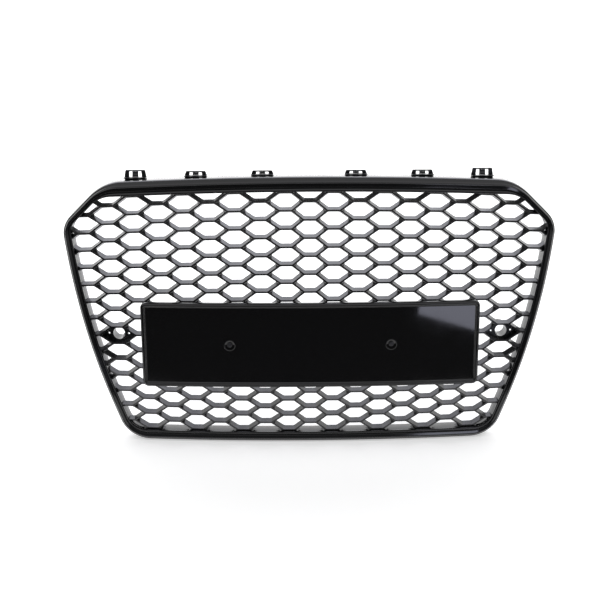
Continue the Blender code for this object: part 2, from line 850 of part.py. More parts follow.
def prism(name, outline, front, back, collection=None):
    """A closed outline of (x, z) points, extruded along Y."""
    bm = bmesh.new()
    rings = [[bm.verts.new((x, y, z)) for x, z in outline] for y in (front, back)]
    for ring in rings:
        bm.faces.new(ring)
    for k in range(len(outline)):
        m = (k + 1) % len(outline)
        bm.faces.new((rings[0][k], rings[0][m], rings[1][m], rings[1][k]))
    return add_object(name, bm, collection)


def make_clip(number, x, height, material):
    """An upright frame with a window, on a foot that lies on the skirt."""
    base = clip_foot_height(x)
    top = top_edge(0.0) + height
    front = clip_back(x)
    low = base - 9.0
    trapezoid = [
        (x - CLIP_BASE / 2, low),
        (x + CLIP_BASE / 2, low),
        (x + CLIP_BASE / 2, base + 1.0),
        (x + CLIP_TOP / 2 + 1.2, top - 1.2),
        (x + CLIP_TOP / 2, top),
        (x - CLIP_TOP / 2, top),
        (x - CLIP_TOP / 2 - 1.2, top - 1.2),
        (x - CLIP_BASE / 2, base + 1.0),
    ]
    clip = prism(f"top_clip_{number}", trapezoid, front, front + CLIP_WALL)
    foot = [
        (x - CLIP_BASE / 2, base),
        (x + CLIP_BASE / 2, base),
        (x + CLIP_BASE / 2, base + CLIP_FOOT_WALL),
        (x - CLIP_BASE / 2, base + CLIP_FOOT_WALL),
    ]
    foot = prism("clip_foot", foot, front - CLIP_FOOT, front + CLIP_WALL * 0.5, CUTTERS)
    boolean(clip, foot, "UNION")
    half = CLIP_WINDOW / 2
    window = [
        (x - half - 0.6, base + CLIP_FOOT_WALL),
        (x + half + 0.6, base + CLIP_FOOT_WALL),
        (x + half, top - CLIP_BAR),
        (x - half, top - CLIP_BAR),
    ]
    boolean(clip, prism("clip_window", window, front - 3, front + 6, CUTTERS), "DIFFERENCE")
    return finish(clip, material)


def make_tongue(number, x, height, material):
    """A thin sprung tongue that hangs in the clip's window from its upper bar."""
    base = clip_foot_height(x) + CLIP_FOOT_WALL
    top = top_edge(0.0) + height - CLIP_BAR - GAP
    front = clip_back(x)
    drop = top - base - 0.5
    profile = [
        (0.5, 0.0),
        (0.5 + TONGUE_WALL, 0.0),
        (0.2 + TONGUE_WALL, -drop * 0.45),
        (TONGUE_WALL - 0.7, -drop),
        (-1.6, -drop),
        (-1.6, -drop * 0.72),
        (0.2, -drop * 0.4),
    ]
    bm = bmesh.new()
    rings = [
        [bm.verts.new((side * TONGUE_WIDTH / 2, y - 0.5 - TONGUE_WALL / 2, z)) for y, z in profile]
        for side in (-1, 1)
    ]
    for ring in rings:
        bm.faces.new(ring)
    for k in range(len(profile)):
        m = (k + 1) % len(profile)
        bm.faces.new((rings[0][k], rings[0][m], rings[1][m], rings[1][k]))
    tongue = add_object(f"clip_tongue_{number}", bm)
    for vertex in tongue.data.vertices:
        vertex.co.z -= ROW_ZERO_Z * MM
    tongue.location = (x * MM, (front + 0.5 + TONGUE_WALL / 2) * MM, (top + ROW_ZERO_Z) * MM)
    return finish(tongue, material)


def main():
    gloss = plastic("gloss_black_abs")
    satin = plastic("satin_black_abs", (0.02, 0.02, 0.022, 1.0), 0.35)
    steel = plastic("black_zinc_screw", (0.03, 0.03, 0.032, 1.0), 0.35, 0.9)
    make_surround(gloss)
    make_insert(gloss)
    make_carrier(gloss)
    make_screws(steel)
    for side, word in ((-1, "left"), (1, "right")):
        make_sensor_holder(f"sensor_holder_{word}", side, gloss)
        make_sensor_latch(f"sensor_latch_{word}", side, satin)
    for number, (x, height) in enumerate(CLIPS, start=1):
        make_clip(number, x, height, satin)
        make_tongue(number, x, height, satin)


main()
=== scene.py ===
# %% [markdown]
# # A honeycomb front grille, dressed for the studio
#
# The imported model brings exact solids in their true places. This lesson gives them their finished
# surfaces: smooth glossy mouldings, a mesh whose ribs have soft noses, screws with cross recesses
# and a small studio round them. Lengths of the grille are in millimetres until a mesh is made, and
# lengths of the studio are in metres.

# %% Load the frame
import math

import bpy
import numpy as np
from mathutils import Matrix, Vector


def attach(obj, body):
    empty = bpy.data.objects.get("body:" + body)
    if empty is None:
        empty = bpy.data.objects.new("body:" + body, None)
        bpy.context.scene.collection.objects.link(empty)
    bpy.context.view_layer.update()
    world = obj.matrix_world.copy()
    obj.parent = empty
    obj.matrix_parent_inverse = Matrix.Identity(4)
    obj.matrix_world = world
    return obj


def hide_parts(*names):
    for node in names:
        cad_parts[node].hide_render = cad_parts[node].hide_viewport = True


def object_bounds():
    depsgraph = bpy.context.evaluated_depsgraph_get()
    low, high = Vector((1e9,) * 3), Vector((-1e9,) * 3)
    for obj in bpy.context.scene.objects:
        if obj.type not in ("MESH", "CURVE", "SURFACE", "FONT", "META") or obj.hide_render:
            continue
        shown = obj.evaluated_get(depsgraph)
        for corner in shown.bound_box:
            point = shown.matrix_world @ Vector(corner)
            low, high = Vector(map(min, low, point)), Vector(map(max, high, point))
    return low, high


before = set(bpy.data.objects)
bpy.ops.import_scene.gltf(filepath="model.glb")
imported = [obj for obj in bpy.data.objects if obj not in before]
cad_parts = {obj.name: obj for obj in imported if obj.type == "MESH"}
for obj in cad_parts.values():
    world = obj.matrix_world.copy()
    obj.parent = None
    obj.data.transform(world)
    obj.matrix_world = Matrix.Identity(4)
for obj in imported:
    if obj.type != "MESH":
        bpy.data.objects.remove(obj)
cad_box = [list(corner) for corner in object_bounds()]
MM = 0.001
print("nodes:", len(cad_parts), "box:", cad_box)

# %% [markdown]
# ## The nose
#
# A car's nose leans back towards the bonnet, tucks under at the bottom and bows across its width,
# and the mouldings follow it. Each could be modelled in place with a curve or a lattice. It's easier
# to draw each one flat and to push every point back by the depth of one shared surface, because then
# they all fit each other. Heights are counted from one row of the mesh.

# %% The nose's depth
ROW_ZERO_Z = 213.5
HEIGHT_UNIT, WIDTH_UNIT = 200.0, 300.0
NOSE_DEPTH, NOSE_LEAN, NOSE_TUCK, NOSE_BOW = -36.645, 27.9, 25.9, 15.1


def nose(x, z):
    """Depth = start + a straight lean and a square term in the height + a square term in x."""
    share = z / HEIGHT_UNIT
    return NOSE_DEPTH + NOSE_LEAN * share + NOSE_TUCK * share**2 + NOSE_BOW * (x / WIDTH_UNIT) ** 2


print("depth at the middle of the top edge:", round(nose(0.0, 213.0), 1))

# %% [markdown]
# ## From arrays to a mesh
#
# A surface is a grid of points, so its faces are worked out from row and column numbers. A modifier
# such as Screw or Array could repeat a profile too, but arrays let the profile change along its way.
# Points that meet at a seam are merged, and the faces are turned so that the volume is positive.

# %% Mesh helpers
MERGE_DIGITS = 4
SHARP_ANGLE = 32.0


def grid_faces(rows, columns, wrap_rows=False, wrap_columns=True):
    """Quads (row, column), (row, column + 1), (row + 1, column + 1), (row + 1, column)."""
    row = np.arange(rows if wrap_rows else rows - 1)[:, None]
    column = np.arange(columns if wrap_columns else columns - 1)[None, :]
    here, below = row * columns, (row + 1) % rows * columns
    right = (column + 1) % columns
    return np.stack([here + column, here + right, below + right, below + column], axis=-1).reshape(-1, 4)


def merge_shell(points, quads):
    """Merges equal points, drops collapsed faces, and turns the shell so that its volume is positive."""
    rounded = np.round(points, MERGE_DIGITS)
    _, first, index = np.unique(rounded, axis=0, return_index=True, return_inverse=True)
    points = points[first]
    quads = index.reshape(-1)[quads]
    triangles = np.concatenate([quads[:, [0, 1, 2]], quads[:, [0, 2, 3]]])
    a, b, c = triangles.T
    triangles = triangles[(a != b) & (b != c) & (c != a)]
    corners = points[triangles] - points.mean(axis=0)
    if np.linalg.det(corners).sum() < 0:
        triangles = triangles[:, ::-1]
    return points, triangles


def join_shells(shells):
    """One list of points and one of faces from several shells."""
    points, faces, start = [], [], 0
    for shell_points, shell_faces in shells:
        points.append(shell_points)
        faces.append(shell_faces + start)
        start += len(shell_points)
    return np.concatenate(points), np.concatenate(faces)


print("faces of a tube with 3 rings of 4 points:", len(grid_faces(3, 4)))

# %% [markdown]
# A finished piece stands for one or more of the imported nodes, moves with a body, and takes its finish
# from a slot. Its arcs are finer than the solid's, so a few points would stand out of the solid's box
# by some hundredths of a millimetre. They're held inside it.

# %% A finished piece


def make_piece(name, shells, material, nodes, angle=SHARP_ANGLE, body="root"):
    """A mesh object at the origin from shells in millimetres, whose z counts from row zero."""
    points, triangles = join_shells(shells)
    world = np.clip((points + [0.0, 0.0, ROW_ZERO_Z]) * MM, *cad_box)
    mesh = bpy.data.meshes.new(name)
    mesh.vertices.add(len(world))
    mesh.loops.add(triangles.size)
    mesh.polygons.add(len(triangles))
    mesh.vertices.foreach_set("co", world.ravel().astype(np.float32))
    mesh.loops.foreach_set("vertex_index", triangles.ravel().astype(np.int32))
    mesh.polygons.foreach_set("loop_start", np.arange(0, triangles.size, 3, dtype=np.int32))
    mesh.update(calc_edges=True)
    mesh.validate()
    mesh.shade_smooth()
    mesh.set_sharp_from_angle(angle=math.radians(angle))
    mesh.materials.append(material)
    piece = bpy.data.objects.new(name, mesh)
    bpy.context.scene.collection.objects.link(piece)
    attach(piece, body)
    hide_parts(*nodes)
    print(name, len(triangles), "triangles")


# %% [markdown]
# ## Finishes
#
# Three real materials make the whole object: polished plastic, etched plastic and plated steel. They
# could each be one flat colour, but a black surface shows only its highlights, so each material here
# is mainly a roughness and a small bump that vary over a real size.

# %% Material helpers


def linear(hex_colour):
    """sRGB hex to linear red, green, blue and alpha: the standard curve, channel by channel."""
    channels = [int(hex_colour[k : k + 2], 16) / 255 for k in (1, 3, 5)]
    return [c / 12.92 if c <= 0.04045 else ((c + 0.055) / 1.055) ** 2.4 for c in channels] + [1.0]


def add(tree, kind, settings=None, links=None):
    """Adds one node with its settings (a property or a socket each) and its links."""
    node = tree.nodes.new(kind)
    for key, value in (settings or {}).items():
        if isinstance(key, str) and hasattr(node, key):
            setattr(node, key, value)
        else:
            node.inputs[key].default_value = value
    for socket, source in (links or {}).items():
        tree.links.new(source, node.inputs[socket])
    return node


def new_material(name, settings):
    """A material whose Principled shader has these settings."""
    material = bpy.data.materials.new(name)
    material.use_nodes = True
    shader = material.node_tree.nodes["Principled BSDF"]
    for key, value in settings.items():
        shader.inputs[key].default_value = value
    return material, material.node_tree, shader


print("middle grey in linear light:", round(linear("#808080")[0], 3))

# %% [markdown]
# ## Gloss and satin black ABS
#
# The mouldings are ABS, an opaque black plastic that takes the gloss of a polished mould. The eye
# sees sharp bright reflections with a very faint ripple, which moulders call orange peel, and a haze
# that comes and goes over a few centimetres. The panel is the flattest and shiniest part, and the
# ribs are duller, because their mould is harder to polish. The clips are the same plastic from an
# etched mould, so they're satin: the real grain is about 0.1 mm, and it's drawn at 0.6 mm to show.

# %% Gloss black ABS
ABS_IOR = 1.54
HAZE_MM = 35.0
HAZE_NOISE = {"From Min": 0.35, "From Max": 0.7}


def gloss_abs(name, colour, smoothest, roughest, ripple_mm, ripple_depth_mm):
    """Roughness is a broad noise scaled to its two limits, and a fine noise is the bump's height."""
    material, tree, shader = new_material(name, {"Base Color": linear(colour), "IOR": ABS_IOR})
    place = add(tree, "ShaderNodeTexCoord").outputs["Object"]
    haze = add(tree, "ShaderNodeTexNoise", {"Scale": 1 / (HAZE_MM * MM), "Detail": 3.0}, {"Vector": place})
    limits = HAZE_NOISE | {"To Min": smoothest, "To Max": roughest}
    rough = add(tree, "ShaderNodeMapRange", limits, {"Value": haze.outputs["Fac"]})
    tree.links.new(rough.outputs["Result"], shader.inputs["Roughness"])
    ripple_settings = {"Scale": 1 / (ripple_mm * MM), "Detail": 2.0}
    ripple = add(tree, "ShaderNodeTexNoise", ripple_settings, {"Vector": place})
    bump_settings = {"Strength": 1.0, "Distance": ripple_depth_mm * MM}
    bump = add(tree, "ShaderNodeBump", bump_settings, {"Height": ripple.outputs["Fac"]})
    tree.links.new(bump.outputs["Normal"], shader.inputs["Normal"])
    return material


surround_finish = gloss_abs(
    "gloss_black_abs", "#0c0c0d", smoothest=0.10, roughest=0.16, ripple_mm=9.0, ripple_depth_mm=0.012
)
mesh_finish = gloss_abs(
    "gloss_black_abs_mesh", "#0c0c0d", smoothest=0.16, roughest=0.24, ripple_mm=5.0, ripple_depth_mm=0.010
)
panel_finish = gloss_abs(
    "gloss_black_abs_panel", "#080809", smoothest=0.05, roughest=0.08, ripple_mm=14.0, ripple_depth_mm=0.006
)
clip_finish = gloss_abs(
    "satin_black_abs", "#1a1a1c", smoothest=0.34, roughest=0.42, ripple_mm=0.6, ripple_depth_mm=0.012
)
print("plastics:", [material.name for material in (surround_finish, mesh_finish, panel_finish, clip_finish)])

# %% [markdown]
# ## Black zinc
#
# The screws are steel with a zinc plating that is blackened in a bath. The eye sees a dark metal whose
# glints are broken up by fine crystals. The crystals are too small to show, so they're drawn at 0.7 mm.
# A metal needs no bump for this: a changing roughness breaks its highlights well enough.

# %% Black zinc
ZINC_GRAIN_MM = 0.7
ZINC_ROUGHNESS = {"To Min": 0.28, "To Max": 0.5}


def black_zinc():
    """Roughness is a fine noise scaled to its two limits."""
    settings = {"Base Color": linear("#4a4a4d"), "Metallic": 1.0}
    material, tree, shader = new_material("black_zinc_steel", settings)
    place = add(tree, "ShaderNodeTexCoord").outputs["Object"]
    grain_settings = {"Scale": 1 / (ZINC_GRAIN_MM * MM), "Detail": 4.0}
    grain = add(tree, "ShaderNodeTexNoise", grain_settings, {"Vector": place})
    rough = add(tree, "ShaderNodeMapRange", ZINC_ROUGHNESS, {"Value": grain.outputs["Fac"]})
    tree.links.new(rough.outputs["Result"], shader.inputs["Roughness"])
    return material


screw_finish = black_zinc()
print("metal:", screw_finish.name)

# %% [markdown]
# ## Outlines of the surround
#
# Seen from the front, the surround has nine rounded corners. Curves with bevelled corners could draw
# them, but three outlines have to keep matching points, so that a section can be carried along all
# of them at once. So each outline is worked out from the same corners and the same counts of steps.
# Each edge moves inward by its own width to give the inner outline, and outward by a small flare at
# the upper corners to give the skirt's end.

# %% Corner tables
CORNERS = [(0.0, 219.8), (329.2, 204.9), (396.0, 139.7), (368.0, -12.0), (301.6, -213.5)]
CORNERS = np.array(CORNERS + [(-x, z) for x, z in CORNERS[:0:-1]])
OUTER_RADII = [5800.0, 78.0, 36.0, 1900.0, 50.0, 50.0, 1900.0, 36.0, 78.0]
INNER_RADII = [5800.0, 48.0, 18.0, 1850.0, 34.0, 34.0, 1850.0, 18.0, 48.0]
FACE_WIDTHS = [22.3, 12.0, 13.6, 13.6, 17.5, 13.6, 13.6, 12.0, 22.3]
SKIRT_FLARES = [0.0, 2.2, 0.4, 0.0, 0.0, 0.0, 0.4, 2.2, 0.0]
ARC_STEPS = [48, 14, 12, 24, 16, 16, 24, 12, 14]
EDGE_STEPS = [8, 10, 3, 3, 48, 3, 3, 10, 8]
print("corners of the surround:", len(CORNERS))

# %% Outline functions


def unit(vectors):
    """Each vector divided by its length."""
    return vectors / np.linalg.norm(vectors, axis=-1, keepdims=True)


def rounded_outline(corners, radii, arc_steps, edge_steps):
    """Each corner becomes an arc that touches both edges, and straight steps join the arcs."""
    arcs = []
    for here, before, after, radius, steps in zip(
        corners, np.roll(corners, 1, axis=0), np.roll(corners, -1, axis=0), radii, arc_steps
    ):
        back, ahead = unit(before - here), unit(after - here)
        half_turn = (math.pi - math.acos(float(back @ ahead))) / 2
        centre = here + unit(back + ahead) * radius / math.cos(half_turn)
        first = here + back * radius * math.tan(half_turn) - centre
        last = here + ahead * radius * math.tan(half_turn) - centre
        start = math.atan2(first[1], first[0])
        turn = (math.atan2(last[1], last[0]) - start + math.pi) % math.tau - math.pi
        angle = start + turn * np.linspace(0, 1, steps + 1)
        arcs.append(centre + radius * np.stack([np.cos(angle), np.sin(angle)], axis=1))
    parts = []
    for k, arc in enumerate(arcs):
        share = np.arange(1, edge_steps[k])[:, None] / edge_steps[k]
        parts += [arc, arc[-1] + (arcs[(k + 1) % len(arcs)][0] - arc[-1]) * share]
    return np.concatenate(parts)


def moved_edges(corners, widths):
    """Each edge moves inward by its width, and neighbours meet again where their lines cross."""
    along = unit(np.roll(corners, -1, axis=-2) - corners)
    inward = np.stack([along[..., 1], -along[..., 0]], axis=-1)
    widths = np.broadcast_to(np.asarray(widths, float), corners.shape[:-1])
    before, width_before = np.roll(inward, 1, axis=-2), np.roll(widths, 1, axis=-1)
    cross = before[..., 0] * inward[..., 1] - before[..., 1] * inward[..., 0]
    x = (width_before * inward[..., 1] - widths * before[..., 1]) / cross
    z = (widths * before[..., 0] - width_before * inward[..., 0]) / cross
    return corners + np.stack([x, z], axis=-1)


def outward(outline):
    """Unit normals of a clockwise closed outline: the direction along it, turned a quarter left."""
    along = unit(np.roll(outline, -1, axis=0) - np.roll(outline, 1, axis=0))
    return np.stack([-along[:, 1], along[:, 0]], axis=1)


# %% Three outlines
STEPS = (ARC_STEPS, EDGE_STEPS)
OUTER = rounded_outline(CORNERS, OUTER_RADII, *STEPS)
INNER = rounded_outline(moved_edges(CORNERS, FACE_WIDTHS), INNER_RADII, *STEPS)
SKIRT = rounded_outline(moved_edges(CORNERS, [-flare for flare in SKIRT_FLARES]), OUTER_RADII, *STEPS)
INNER_NORMALS = outward(INNER)
print("points round the surround:", len(OUTER))

# %% [markdown]
# ## Carrying a section along the outlines
#
# A moulding's section has rounded edges, because a mould's cutter has a radius, and those small
# radii are what catches the light. A Bevel modifier would round them too, but it needs edges chosen
# by angle. Here each ring of the section is split into four instead, along a short curve that cuts
# its corner.

# %% Sweeping
CORNER_SHARE = 0.45


def soften(rings, radius):
    """Cuts each ring's corner with a quadratic curve that starts and ends a radius away from it.

    A cut takes at most 0.45 of a side, so that neighbouring cuts never meet.
    """
    before, after = np.roll(rings, 1, axis=0) - rings, np.roll(rings, -1, axis=0) - rings
    far = []
    for step in (before, after):
        length = np.linalg.norm(step, axis=-1, keepdims=True)
        far.append(rings + step / np.maximum(length, 1e-9) * np.minimum(radius, CORNER_SHARE * length))
    t = np.array([0.0, 1 / 3, 2 / 3, 1.0])[None, :, None, None]
    start, end, corner = far[0][:, None], far[1][:, None], rings[:, None]
    curve = (1 - t) ** 2 * start + 2 * t * (1 - t) * corner + t**2 * end
    return curve.reshape(-1, rings.shape[1], 3)


def ring_of(outline, depth):
    """Points (x, depth, z) of an outline."""
    return np.stack([outline[:, 0], np.broadcast_to(depth, len(outline)), outline[:, 1]], axis=1)


def bend(points):
    """Moves each point back by the nose's depth at its x and z."""
    depth = nose(points[..., 0], points[..., 2])
    return points + depth[..., None] * [0.0, 1.0, 0.0]


def sweep(rings, closed=True):
    """The shell of a stack of rings, joined last to first when it's closed."""
    faces = grid_faces(rings.shape[0], rings.shape[1], wrap_rows=closed)
    return merge_shell(rings.reshape(-1, 3), faces)


print("rings of a softened square section:", len(soften(np.zeros((4, 3, 3)), 1.0)))

# %% [markdown]
# ## Surround frame
#
# The bezel reads from the inside out as a lip, a bead, a groove, a broad band with a raised ridge,
# and an outer band that rolls over into the skirt. It could be a bevelled curve, but its width
# changes from edge to edge, so the section is given in shares. FACE_SECTION holds the share of the
# way from the inner to the outer outline, and the height above the base. The lips hold a distance
# outside the inner outline in millimetres, and the height.

# %% Surround section
BASE = -3.8
FRONT_LIP = [(0.0, 1.0), (0.0, 4.0), (0.9, 5.3)]
FACE_SECTION = [
    (0.14, 5.8),
    (0.22, 4.8),
    (0.25, 3.5),
    (0.29, 3.5),
    (0.33, 5.4),
    (0.58, 7.0),
    (0.64, 8.2),
    (0.70, 7.2),
    (0.75, 5.8),
    (0.94, 3.8),
    (1.00, 1.0),
]
BACK_SECTION = [(0.64, 4.6), (0.32, 0.8)]
BACK_LIP = [(2.4, 2.6), (2.3, 1.0)]
SKIRT_END, SKIRT_ROOT = 19.0, 1.4
FRAME_WALL = 2.3
FRAME_EDGE_RADIUS = 0.7


def lip_rings(section):
    """Rings at a distance outside the inner outline."""
    return [ring_of(INNER + INNER_NORMALS * distance, BASE - height) for distance, height in section]


def share_rings(section):
    """Rings at a share of the way from the inner to the outer outline."""
    return [ring_of(INNER + (OUTER - INNER) * share, BASE - height) for share, height in section]


def surround_rings():
    """Rings from the lip over the face to the skirt's end, and back along the inside."""
    skirt = [
        ring_of(SKIRT, SKIRT_END),
        ring_of(SKIRT - outward(SKIRT) * FRAME_WALL, SKIRT_END),
        ring_of(OUTER - outward(OUTER) * FRAME_WALL, BASE + SKIRT_ROOT),
    ]
    front = lip_rings(FRONT_LIP) + share_rings(FACE_SECTION)
    return np.stack(front + skirt + share_rings(BACK_SECTION) + lip_rings(BACK_LIP))


surround_shell = sweep(bend(soften(surround_rings(), FRAME_EDGE_RADIUS)))
print("points of the surround's shell:", len(surround_shell[0]))

# %% [markdown]
# ## Turned details
#
# Bosses, pads and screws are turned shapes. The Screw modifier could make them, but here a profile
# of radius and depth goes round an axis that points into the car, so that all of them share the
# rounding and the merging above. Each screw position of one side steps outward from the inner
# outline, and the other side mirrors it.

# %% Turning and screw positions
SCREW_INSET = 6.9
SCREW_PLACES = [
    (75.0, 190.0),
    (225.0, 187.0),
    (303.0, 182.0),
    (352.0, -10.0),
    (225.0, -196.0),
    (81.3, -196.0),
]


def turned(profile, place, sides=28, radius=0.25):
    """A profile of (radius, depth) pairs, with softened corners, carried once round the axis."""
    radii, depths = np.array(profile, float).T[:, :, None]
    angle = np.arange(sides) * math.tau / sides
    rings = np.stack([radii * np.cos(angle), depths + 0 * angle, radii * np.sin(angle)], axis=-1)
    return sweep(soften(rings, radius) + np.array(place))


def outward_place(x, z, distance):
    """The point at this distance outside the inner outline, nearest to (x, z)."""
    nearest = int(np.argmin(np.hypot(INNER[:, 0] - x, INNER[:, 1] - z)))
    normal = INNER_NORMALS[nearest]
    along = np.array([-normal[1], normal[0]])
    foot = INNER[nearest] + along * float(((x, z) - INNER[nearest]) @ along)
    return foot + normal * distance


SCREWS_AT = [outward_place(side * x, z, SCREW_INSET) for side in (1, -1) for x, z in SCREW_PLACES]
SCREWS_AT = [(x, nose(x, z), z) for x, z in SCREWS_AT]
print("screws round the flange:", len(SCREWS_AT))

# %% [markdown]
# ## Bosses and lower tongues
#
# Behind the bezel, each screw bites into a hollow boss, and four flat tongues along the lower edge
# hook into the bumper. A tongue could be a scaled cube with a bevel. A stack of rounded rectangles
# gives the same shape with a smaller tip, and its ends are closed like a ladder.

# %% Bosses and tongues of the surround
BOSS = [(3.4, -6.6), (3.4, 12.4), (1.8, 12.4), (1.8, 0.0)]
SMALL_SIDES = 20
LOWER_TONGUES = (-248.0, -150.0, 150.0, 248.0)
TONGUE_RISE = 2.7
TONGUE_BODY, TONGUE_TIP = (16.0, 3.0, 0.7), (15.0, 2.0, 0.4)
TONGUE_STATIONS = [(TONGUE_BODY, 17.75), (TONGUE_BODY, 37.5), (TONGUE_TIP, 38.0)]


def rounded_rectangle(width, height, radius, steps=6):
    """A clockwise outline round the origin, with matching points on opposite sides."""
    x, z = width / 2, height / 2
    corners = np.array([(-x, z), (x, z), (x, -z), (-x, -z)])
    return rounded_outline(corners, [radius] * 4, [steps] * 4, [1] * 4)


def capped(rings):
    """A shell whose first and last rings are closed by faces that join their halves like a ladder."""
    count, size = rings.shape[:2]
    top = np.arange(size // 2)
    ladder = np.stack([top[:-1], top[1:], size - 2 - top[:-1], size - 1 - top[:-1]], axis=1)
    faces = [grid_faces(count, size), ladder[:, ::-1], ladder + (count - 1) * size]
    return merge_shell(rings.reshape(-1, 3), np.concatenate(faces))


def lower_tongue(x):
    """A flat tongue with rounded long edges, that starts inside the skirt's wall and runs back."""
    depth, middle = nose(x, -ROW_ZERO_Z), (x, TONGUE_RISE - ROW_ZERO_Z)
    shapes = [(rounded_rectangle(*size) + middle, back) for size, back in TONGUE_STATIONS]
    return capped(np.stack([ring_of(shape, depth + back) for shape, back in shapes]))


surround_shells = [surround_shell]
surround_shells += [turned(BOSS, place, SMALL_SIDES) for place in SCREWS_AT]
surround_shells += [lower_tongue(x) for x in LOWER_TONGUES]
make_piece("surround_bezel", surround_shells, surround_finish, ["surround_frame"])

# %% [markdown]
# ## Honeycomb mesh
#
# A stretched hexagon repeats in columns that shift by half a cell, fan out towards the top, and
# droop towards the sides. It could be cut from a plate with Booleans, but hundreds of cuts are slow
# and shade badly. So each cell is a funnel: a ring on the ribs' middle lines in front, a soft nose, a
# drafted wall that lets the part leave its mould, and a ring on the middle lines behind. Neighbours
# share their middle lines, so the cells close into one surface. A cell has only 12 points a ring,
# because there are hundreds of cells.

# %% Cell corners
CENTRE_PITCH, COLUMN_PITCH = 36.8, 39.2
HALF_ROW, ROW_SHIFT, MIDDLE_ROW = 13.74, -1.8, 8
BAR = 19.0
FAN = 0.044
DROOP, DROOP_GROWTH = 3.5, 4.45
LAST_COLUMN = 10
FIRST_ROW, LAST_ROW = -7, 23


def column_x(i):
    """Middle of a column: one centre pitch, and one column pitch for each further column."""
    return np.sign(i) * (CENTRE_PITCH + (np.abs(i) - 1) * COLUMN_PITCH) * (i != 0)


def lattice_point(flat_x, row):
    """Fans x by the height, then lowers z by a square term in x that grows with the height."""
    z = ROW_SHIFT - (row - MIDDLE_ROW) * HALF_ROW
    x = flat_x * (1 + FAN * z / HEIGHT_UNIT)
    return np.stack([x, z + (-DROOP - DROOP_GROWTH * z / HEIGHT_UNIT) * (x / WIDTH_UNIT) ** 2], axis=-1)


def cell_corners(i, row):
    """Six corners of each cell, clockwise from the top left, for whole arrays of cells."""
    x = column_x(i)
    left, right = column_x(i - 1) + BAR / 2, column_x(i + 1) - BAR / 2
    xs = np.stack([x - BAR / 2, x + BAR / 2, right, x + BAR / 2, x - BAR / 2, left], axis=-1)
    rows = np.stack([row - 1, row - 1, row, row + 1, row + 1, row], axis=-1)
    return lattice_point(xs, rows)


column, row = np.meshgrid(
    np.arange(-LAST_COLUMN, LAST_COLUMN + 1), np.arange(FIRST_ROW, LAST_ROW + 1), indexing="ij"
)
offset_rows = (column + row) % 2 == 0
CELLS = cell_corners(column[offset_rows], row[offset_rows])
print("cells before trimming:", len(CELLS))

# %% [markdown]
# The mesh ends inside the wall of its rim. Cutting it there with a Boolean would leave slivers.
# Instead, where an edge of a cell crosses that line, its outer end slides back along the edge to the
# crossing, and a point with no inner neighbour goes to the nearest place on the line.

# %% Trimming to the rim
RIM_MIDDLE = 1.75
RIM_LINE = INNER + INNER_NORMALS * RIM_MIDDLE
HALVINGS = 14


def nearest_on_line(points):
    """Nearest point of the closed line to each point, and the distance, negative outside it."""
    start, step = RIM_LINE, np.roll(RIM_LINE, -1, axis=0) - RIM_LINE
    offset = points[:, None] - start
    share = np.clip((offset * step).sum(-1) / (step**2).sum(-1), 0, 1)
    gap = offset - share[..., None] * step
    distance = np.linalg.norm(gap, axis=-1)
    best = distance.argmin(axis=1)
    pick = np.arange(len(points))
    foot = start[best] + share[pick, best][:, None] * step[best]
    normal = np.stack([-step[best, 1], step[best, 0]], axis=1)
    inside = ((points - foot) * normal).sum(-1) <= 0
    return foot, np.where(inside, 1.0, -1.0) * distance[pick, best]


def crossings(start, end, start_inside):
    """Where each edge crosses the line, found by halving the stretch that holds the crossing."""
    low, high = np.zeros(len(start)), np.ones(len(start))
    for _ in range(HALVINGS):
        middle = (low + high) / 2
        gap = nearest_on_line(start + (end - start) * middle[:, None])[1]
        beyond = (gap >= 0) != start_inside
        high, low = np.where(beyond, middle, high), np.where(beyond, low, middle)
    return start + (end - start) * ((low + high) / 2)[:, None]


def trim_edges(start, end):
    """Both ends of each edge, kept, slid to the crossing, or put on the line."""
    foot_start, gap_start = nearest_on_line(start)
    foot_end, gap_end = nearest_on_line(end)
    crosses = (gap_start < 0) != (gap_end < 0)
    start_inside = gap_start[crosses] >= 0
    crossing = crossings(start[crosses], end[crosses], start_inside)
    new_start, new_end = start.copy(), end.copy()
    outside = (gap_start < 0) & (gap_end < 0)
    new_start[outside], new_end[outside] = foot_start[outside], foot_end[outside]
    new_end[crosses] = np.where(start_inside[:, None], crossing, new_end[crosses])
    new_start[crosses] = np.where(start_inside[:, None], new_start[crosses], crossing)
    return new_start, new_end, outside


print("corners outside the rim:", int((nearest_on_line(CELLS.reshape(-1, 2))[1] < 0).sum()))

# %% [markdown]
# RIB_SECTION is half a rib, from its nose to its back. Each row holds how far a cell's sides have
# moved inward, how much of each end of a side is cut off to round the cell's corners, and the depth.
# The wall grows thicker towards the back: that is the draft.

# %% Honeycomb surface
CELL_SIDES, RING_POINTS = 6, 12
RIB_SECTION = [
    (0.0, 0.0, -4.0),
    (1.0, 0.3, -4.0),
    (1.3, 0.5, -3.7),
    (3.9, 1.2, 6.75),
    (3.6, 1.2, 7.0),
    (0.0, 0.0, 7.0),
]


def cell_ring(inset, corner_cut):
    """Each cell moved inward, as 12 points: both ends of each edge, a little short of its corners."""
    corners = moved_edges(CELLS, inset) if inset else CELLS
    following = np.roll(corners, -1, axis=1)
    along = unit(following - corners) * corner_cut
    start, end, outside = trim_edges((corners + along).reshape(-1, 2), (following - along).reshape(-1, 2))
    ring = np.stack([start, end], axis=1).reshape(len(CELLS), RING_POINTS, 2)
    return ring, outside.reshape(len(CELLS), CELL_SIDES).all(axis=1)


